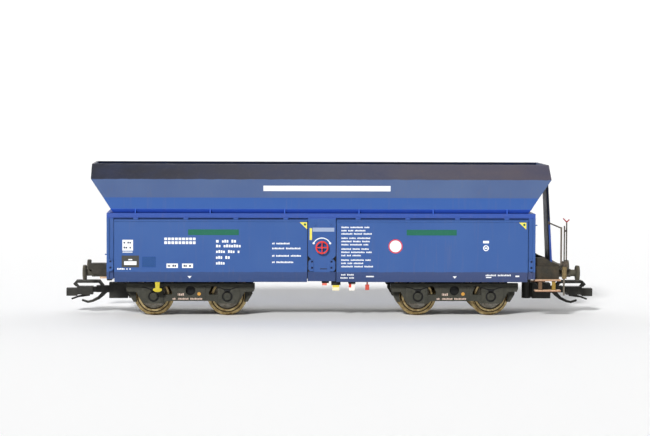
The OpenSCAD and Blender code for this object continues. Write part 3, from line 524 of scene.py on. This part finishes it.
class Print:
    """Thin printed shapes on one face, also used for painted shade; the far side gets the same, turned half
    round the middle.
    """

    def __init__(self, face, middle_x=BODY_X):
        (self.h0, self.y0), (h1, y1) = face
        self.lean = (y1 - self.y0) / (h1 - self.h0)
        self.middle = middle_x
        self.bm = bmesh.new()

    def point(self, x, h, out, side):
        y = self.y0 + (h - self.h0) * self.lean + out
        return Vector(((self.middle - side * x), side * y, h - out * self.lean + RAIL)) * MM

    def layer(self, points, out, side):
        return [self.bm.verts.new(self.point(x, h, out, side)) for x, h in points]

    def shape(self, points, level=0):
        """An outline of x from the middle and height above the rail; higher levels lie on lower ones."""
        for side in SIDES:
            low = self.layer(points, INK_GAP + level * INK_T, side)
            top = self.layer(points, INK_GAP + (level + 1) * INK_T, side)
            self.bm.faces.new(low[::-1])
            self.bm.faces.new(top)
            for i in range(len(points)):
                j = (i + 1) % len(points)
                self.bm.faces.new((low[i], low[j], top[j], top[i]))

    def bar(self, x0, x1, h0, h1, level=0):
        self.shape([(x0, h0), (x1, h0), (x1, h1), (x0, h1)], level)

    def disc(self, x, h, radius, level=0, segments=32):
        turns = [2 * math.pi * i / segments for i in range(segments)]
        self.shape([(x + radius * math.cos(a), h + radius * math.sin(a)) for a in turns], level)

    def ring(self, x, h, radius, width, start=0.0, end=360.0, level=0, segments=32):
        """A ring or arc, as short pieces that meet end to end; angles in degrees."""
        inner, outer = radius - width / 2, radius + width / 2
        for i in range(segments):
            a, b = (math.radians(start + (end - start) * k / segments) for k in (i, i + 1))
            self.shape([(x + r * math.cos(turn), h + r * math.sin(turn))
                        for r, turn in ((inner, a), (outer, a), (outer, b), (inner, b))], level)

    def line(self, x, h, length, height, words, level=0):
        """A blank line of print: short plain dashes in groups whose shares of the length words gives."""
        gap = height * 0.9
        room = length - gap * (len(words) - 1)
        for share in words:
            width = room * share / sum(words)
            count = max(1, round(width / (height * 0.85)))
            pitch = width / count
            for k in range(count):
                cut = height * (0.0, 0.22, 0.1)[(k * 2 + share) % 3]
                self.bar(x + k * pitch, x + (k + 0.74) * pitch, h - height / 2, h + height / 2 - cut, level)
            x += width + gap

    def finish(self, name, material, body="wagon_body"):
        finish_piece(self.bm, name, material, body, smooth=0)


def mark_flaps():
    """Green bars, and yellow corner triangles with a green dot each."""
    green = Print(FLAP_FACE)
    green.bar(-27.1, -16.85, 16.28, 17.42)
    green.bar(17.2, 27.4, 16.28, 17.42)
    green.finish("print_green_bars", GREEN_INK)

    yellow = Print(FLAP_FACE)
    dots = Print(FLAP_FACE)
    for x in (-3.05, 41.6):
        yellow.shape([(x - 1.5, 18.92), (x, 17.5), (x, 18.92)])
        dots.disc(x - 0.42, 18.46, 0.24, level=1, segments=16)
    yellow.finish("print_yellow_corners", YELLOW_INK)
    dots.finish("print_green_dots", GREEN_INK)


def mark_plain_end():
    """A dark plate and a faint hatched square at the plain end."""
    dark = Print(FLAP_FACE)
    dark.bar(-40.5, -37, 9.72, 12.1)
    dark.finish("print_dark_plate", DARK_INK)

    faint = Print(FLAP_FACE)
    faint.bar(-36.4, -33.6, 9.72, 11.9)
    for i in range(6):
        faint.bar(-36.3 + i * 0.46, -36.1 + i * 0.46, 9.8, 11.8, level=1)
    faint.finish("print_faint_square", BLUE_INK)
    hatch = Print(FLAP_FACE)
    for i in range(5):
        hatch.bar(-36.3, -33.7, 9.95 + i * 0.4, 10.1 + i * 0.4, level=2)
    hatch.finish("print_hatch", DEEP_TEAL_INK)


def mark_lettering():
    """Blank plates and frames, and blank lines where the wagon carries its lettering."""
    white = Print(FLAP_FACE)
    # White plates over and on the dark plate, with a blank line under it
    white.bar(-40.35, -38.2, 13.1, 15.3)
    white.bar(-40.3, -38.3, 12.72, 12.9)
    white.bar(-40, -37.5, 10.2, 10.95, level=1)
    white.bar(-39.15, -38.35, 11.15, 11.4, level=1)
    white.line(-41.4, 9.42, 2.8, 0.34, (5, 1, 1))
    # Two rows of blank cells and the two boxes under them
    for i in range(9):
        for low, high in ((15.25, 15.75), (14.45, 15)):
            white.bar(-31.9 + i * 0.72, -31.35 + i * 0.72, low, high)
    white.bar(-31.45, -29.15, 9.6, 10.5)
    white.bar(-28.3, -26.1, 9.6, 10.5)
    dashes = Print(FLAP_FACE)
    dashes.line(-31.2, 10.05, 1.8, 0.42, (2, 3), level=1)
    dashes.line(-28, 10.05, 1.6, 0.42, (3, 2), level=1)
    dashes.line(-40.1, 14.75, 1.6, 0.4, (1, 2), level=1)
    dashes.line(-40.1, 13.75, 1.6, 0.4, (2, 1), level=1)
    dashes.finish("print_dark_dashes", DEEP_BLUE_INK_AND_SHADE)
    # Height, length and groups of the large lines, then of the small ones
    for h, length, words in ((15.05, 4.15, (2, 4, 3)), (14.1, 5.1, (2, 7)), (12.95, 4.85, (4, 3, 1)),
                             (11.75, 2.9, (4, 3)), (10.6, 1.85, (1,))):
        white.line(-21.45, h, length, 0.58, words)
    for h, length, words in ((14.6, 3.6, (1, 5)), (13.6, 5.8, (5, 6)), (12.1, 5.9, (1, 5, 4)),
                             (10.8, 4.35, (1, 6))):
        white.line(-10.1, h, length, 0.34, words)
    # Four blocks of three fine lines, each with the height of its first line
    groups = ((3, 5, 2), (2, 2, 4), (4, 3, 3))
    for i, (h, lengths) in enumerate(((17.9, (5.7, 4.9, 6.2)), (15.7, (5.9, 5.8, 5.5)),
                                      (13.5, (5.6, 6.2, 4)), (11.25, (6, 4.5, 6.5)))):
        for k, length in enumerate(lengths):
            white.line(3.95, h - k * 0.66, length, 0.3, groups[(i + k) % 3])
    # A small plate and a ringed mark near the brake end
    white.bar(32.8, 34, 14.7, 15.2)
    white.ring(33.4, 13.7, 0.5, 0.2, segments=20)
    white.bar(33.1, 33.7, 13.55, 13.85)
    white.finish("print_white_lines", WHITE_INK)


def mark_sign():
    """Round sign, blank inside its red ring."""
    x, h = 14.95, 14.05
    sign = Print(FLAP_FACE)
    sign.disc(x, h, 1.2)
    sign.finish("print_sign_disc", WHITE_INK)
    ring = Print(FLAP_FACE)
    ring.ring(x, h, 1.34, 0.2)
    ring.finish("print_sign_ring", RED_INK)


def mark_foot():
    """Small triangles and blank lines on the folded foot of the flaps."""
    foot = Print(FOOT_FACE)
    for x in (-26.8, 27.1):
        foot.shape([(x - 0.42, 7.95), (x, 7.45), (x + 0.42, 7.95)])
    foot.line(3.95, 8.25, 2.6, 0.32, (2, 3))
    foot.line(3.8, 7.6, 2.8, 0.32, (3, 2))
    foot.bar(9, 10.6, 7.75, 8)
    foot.line(33.4, 8.15, 5.2, 0.34, (4, 5))
    foot.bar(33.5, 34.6, 7.6, 7.82)
    foot.bar(39.5, 40.3, 7.8, 8.1)
    foot.finish("print_foot_lines", WHITE_INK)


def mark_stripe():
    """A plain stripe where the wagon carries its owner's mark."""
    stripe = Print(LEAN_FACE)
    stripe.bar(-11.9, 13.9, 25.2, 26.3)
    stripe.finish("print_plain_stripe", WHITE_INK)


def mark_centre_panel():
    """Pale stripe, yellow bar and the pointer scale over the handwheel."""
    pale = Print(PANEL_FACE)
    pale.bar(-1.9, 2.5, 17, 17.8)
    pale.finish("print_panel_stripe", PALE_INK)
    bar = Print(PANEL_FACE)
    bar.bar(-2.5, -2.02, 15.3, 17.7)
    bar.finish("print_panel_bar", YELLOW_INK)

    hub_h, radius, ends = 13.85, 1.85, (25, 155)
    scale = Print(PANEL_FACE)
    scale.ring(0, hub_h, radius, 0.2, *ends, segments=18)
    for angle in map(math.radians, ends):
        scale.disc(radius * math.cos(angle), hub_h + radius * math.sin(angle), 0.22, level=1, segments=14)
    scale.finish("print_panel_arc", WHITE_INK)


def mark_latch_holes():
    """Painted shade: dark bottoms of the square holes in the latch plates."""
    hole = 0.4
    for name, face, places in (("post", LATCH_FACE, (-42.95, 42.55)),
                               ("panel", NECK_FACE, (-2.17, 1.77))):
        holes = Print(face)
        for x in places:
            for h in (9.45, 10.7):
                holes.bar(x, x + hole, h, h + hole)
        holes.finish("latch_holes_" + name, DEEP_BLUE_INK_AND_SHADE)


def mark_bogie_recesses(end):
    """Painted shadow in the recesses of a bogie side: the middle hole, round the axle covers and over the
    axles.
    """
    bottom = Print(HOLE_FACE, PIVOTS[end])
    bottom.disc(0, 4.7, 0.97)
    bottom.finish("bogie_hole_" + end, SHADOW_INK, "bogie_" + end)

    # Half of the recess over an axle, from its middle to its tip and back
    half = [(0.4, 4.35), (0.7, 4.85), (1.5, 5.2), (2.6, 5.6), (1.4, 5.5), (0.7, 5.2)]
    recess = Print(SILL_FACE, PIVOTS[end])
    for at in (-HALF_BASE, HALF_BASE):
        recess.ring(at, AXLE_H, 0.95, 0.26)
        recess.shape([(at + x, h) for x, h in half] + [(at - x, h) for x, h in reversed(half)])
    recess.finish("bogie_recess_" + end, SHADOW_INK, "bogie_" + end)


def mark_bogie_sill(end):
    """Blank lines and an orange dot on the sill of a bogie."""
    words = Print(SILL_FACE, PIVOTS[end])
    words.line(-2.75, 3.95, 1.5, 0.5, (3,))
    words.line(-3.65, 3.05, 6.1, 0.36, (4, 3))
    words.finish("print_sill_" + end, PINK_INK, "bogie_" + end)
    dot = Print(SILL_FACE, PIVOTS[end])
    dot.disc(1.75, 4.05, 0.36, segments=20)
    dot.finish("print_dot_" + end, ORANGE_INK, "bogie_" + end)


# ---------- fittings ----------

def add_body_lugs():
    """Lugs on the centre panels and knobs on the corner posts."""
    bm = bmesh.new()
    half_x, half_h = 0.16, 0.14
    for side in SIDES:
        for x, h in ((-1.35, 18.35), (1.8, 18.4)):
            at = BODY_X - side * x
            box_mesh(bm, (at - half_x, side * 12.1, h - half_h),
                     (at + half_x, side * 12.35, h + half_h), 0.04)
        for x, h in ((-43.6, 12.3), (43.6, 18.35)):
            start = BODY_X - side * x * 0.998
            tip = BODY_X - side * (x + math.copysign(0.3, x))
            rod_mesh(bm, (start, side * 11.9, h), (tip, side * 11.9, h), 0.12)
    finish_piece(bm, "body_lugs", MATERIALS["body_blue"], "wagon_body")


def add_panel_slots():
    """Painted shade: thin dark plates where the necks of the centre panels have slots."""
    bm = bmesh.new()
    for side in SIDES:
        at = BODY_X - side * 0.35
        box_mesh(bm, (at - 0.7, side * 12.1, 9.35), (at + 0.7, side * 12.13, 9.5))
    finish_piece(bm, "panel_slots", BLACK, "wagon_body")


def add_deck_seams():
    """A seam and five rivets along each edge of the platform deck."""
    edge_y = 10.8
    bm = bmesh.new()
    for side in SIDES:
        box_mesh(bm, (BODY_X + 43.7, side * edge_y, 9.98), (46.3, side * (edge_y + 0.02), 10.08))
        for i in range(5):
            x = 42.2 + i * 0.85
            h = 9.3 - (i % 2) * 1.1
            rod_mesh(bm, (x, side * edge_y, h), (x, side * (edge_y + 0.06), h), 0.1, 8)
    finish_piece(bm, "deck_seams", BLACK, "wagon_body")


def add_lamp_box_seams():
    """Seams on the outer face of the lamp box, which stands on the near side alone."""
    face_y, seam_y = -8.9, -8.92
    bm = bmesh.new()
    for x0, x1, h0, h1 in ((-48.9, -46, 9.22, 9.32), (-48.7, -46.5, 9.95, 10.02), (-47, -46.9, 8.1, 9.22)):
        box_mesh(bm, (x0, seam_y, h0), (x1, face_y, h1))
    finish_piece(bm, "lamp_box_seams", BLACK, "wagon_body")


def add_grab_steps():
    """Copper grab steps under the buffers of the plain end."""
    bm = bmesh.new()
    for side in SIDES:
        box_mesh(bm, (-47.35, side * 9.6, 7.3), (-45.92, side * 10.7, 7.65), 0.12)
    finish_piece(bm, "grab_steps", MATERIALS["step_copper"], "wagon_body")


def add_bogie_bolts(end):
    """Hex heads round the axle covers and on the beams of a bogie."""
    face_y = 9.5
    beam_h = 5.95
    # Place from the axle, height and radius of the heads round one axle cover
    heads = [(s * dx, h, r) for dx, h, r in ((1.45, 4.75, 0.16), (1.6, 2.6, 0.14), (2.2, beam_h, 0.12))
             for s in (-1, 1)] + [(0, beam_h, 0.12)]
    pivot = PIVOTS[end]
    bm = bmesh.new()
    for side in SIDES:
        for axle in (pivot - HALF_BASE, pivot + HALF_BASE):
            for dx, h, r in heads:
                rod_mesh(bm, (axle + dx, side * face_y, h), (axle + dx, side * (face_y + 0.12), h), r, 6)
            rod_mesh(bm, (axle, side * 9.6, AXLE_H), (axle, side * 9.66, AXLE_H), 0.22, 12)
        for x in (pivot - 4.2, pivot - 1.6, pivot + 1.6, pivot + 4.2):
            rod_mesh(bm, (x, side * face_y, beam_h), (x, side * (face_y + 0.1), beam_h), 0.13, 6)
    finish_piece(bm, "bogie_bolts_" + end, MATERIALS["bogie_grey"], "bogie_" + end)


# ---------- the CAD nodes ----------

for node, thing in frame["nodes"].items():
    thing.data.materials.clear()
    thing.data.materials.append(material_of(node))

for node in ("hopper_side_near", "hopper_side_far"):
    rounded_copy(node, 0.06, inside=lambda p, n: n.y * p.y < 0 and abs(n.y) > 0.3)
for node in ("hopper_end_plain", "hopper_end_brake"):
    rounded_copy(node, 0.06, inside=lambda p, n: n.x * (p.x - BODY_X) < 0 and abs(n.x) > 0.3)

# Nodes by the width of their rounded edges, in mm
ROUNDED = {
    0.1: ("flap_near_plain", "flap_near_brake", "flap_far_plain", "flap_far_brake", "headstock_plain",
          "headstock_brake", "bogie_frame_plain", "bogie_frame_brake"),
    0.07: ("chord_near", "chord_far", "post_near_plain", "post_near_brake", "post_far_plain",
           "post_far_brake", "centre_panel_near", "centre_panel_far", "end_frame_plain",
           "end_frame_brake", "platform_deck", "lamp_box", "underframe", "brake_shoes_plain",
           "brake_shoes_brake"),
    0.05: ("platform_steps_near", "platform_steps_far", "end_pillar", "coupler_pocket_plain",
           "coupler_pocket_brake", "coupler_head_plain", "coupler_head_brake", "drag_shoe",
           "flap_shafts"),
}
for width, nodes in ROUNDED.items():
    for node in nodes:
        rounded_copy(node, width)

mark_flaps()
mark_plain_end()
mark_lettering()
mark_sign()
mark_foot()
mark_stripe()
mark_centre_panel()
mark_latch_holes()
for end in PIVOTS:
    mark_bogie_recesses(end)
for end in PIVOTS:
    mark_bogie_sill(end)

add_body_lugs()
add_panel_slots()
add_deck_seams()
add_lamp_box_seams()
add_grab_steps()
for end in PIVOTS:
    add_bogie_bolts(end)


# ---------- stage, light and camera ----------

# Profile of the backdrop, in metres
STAGE_FRONT, STAGE_HALF_WIDTH = -3.0, 5.0
BEND_START, BEND_RADIUS, BEND_STEPS = 0.6, 0.8, 24
STAGE_TOP = 4.0


def make_stage():
    """A pale sheet that lies flat and bends up behind the model without an edge."""
    profile = [(STAGE_FRONT, 0.0), (BEND_START, 0.0)]
    for i in range(1, BEND_STEPS + 1):
        a = math.pi / 2 * i / BEND_STEPS
        profile.append((BEND_START + BEND_RADIUS * math.sin(a), BEND_RADIUS - BEND_RADIUS * math.cos(a)))
    profile.append((BEND_START + BEND_RADIUS, STAGE_TOP))
    bm = bmesh.new()
    rows = [[bm.verts.new((x, y, z)) for x in (-STAGE_HALF_WIDTH, STAGE_HALF_WIDTH)] for y, z in profile]
    for a, b in zip(rows, rows[1:]):
        bm.faces.new((a[0], a[1], b[1], b[0]))
    mesh = bpy.data.meshes.new("backdrop")
    bm.to_mesh(mesh)
    bm.free()
    mesh.shade_smooth()
    sheet = bpy.data.objects.new("backdrop", mesh)
    bpy.context.scene.collection.objects.link(sheet)
    paper = Shader("backdrop_paper", 0.9, specular=0.1)
    paper.colour(srgb(246, 246, 246))
    mesh.materials.append(paper.material)


def make_light():
    """An even white studio and a wide soft light high on the left in front of the wagon."""
    world = bpy.data.worlds.new("studio")
    world.use_nodes = True
    world.node_tree.nodes["Background"].inputs["Color"].default_value = (1, 1, 1, 1)
    world.node_tree.nodes["Background"].inputs["Strength"].default_value = 0.2
    bpy.context.scene.world = world
    data = bpy.data.lights.new("key", "SUN")
    data.energy = 3.35
    data.angle = math.radians(9)
    key = bpy.data.objects.new("key", data)
    key.rotation_euler = Vector((0.296, 0.814, -0.5)).to_track_quat("-Z", "Y").to_euler()
    bpy.context.scene.collection.objects.link(key)


CAMERA_PLACE = (-21.41, -462.39, 47.12)     # mm, in the frame of the part
CAMERA_YAW = 0.04364                         # radians to the right
CAMERA_PITCH = 0.05917                       # radians down
CAMERA_ROLL = 0.00467
SENSOR_WIDTH = 36.0
LENS = 123.34


def make_camera():
    data = bpy.data.cameras.new("camera")
    data.sensor_width = SENSOR_WIDTH
    data.lens = LENS
    data.clip_start = 0.01
    data.clip_end = 50
    camera = bpy.data.objects.new("camera", data)
    turn = (Matrix.Rotation(-CAMERA_YAW, 4, "Z") @ Matrix.Rotation(math.pi / 2 - CAMERA_PITCH, 4, "X")
            @ Matrix.Rotation(CAMERA_ROLL, 4, "Z"))
    camera.matrix_world = Matrix.Translation(Vector(CAMERA_PLACE) * MM) @ turn
    bpy.context.scene.collection.objects.link(camera)
    bpy.context.scene.camera = camera


make_stage()
make_light()
make_camera()
bpy.context.scene.view_settings.view_transform = "Standard"
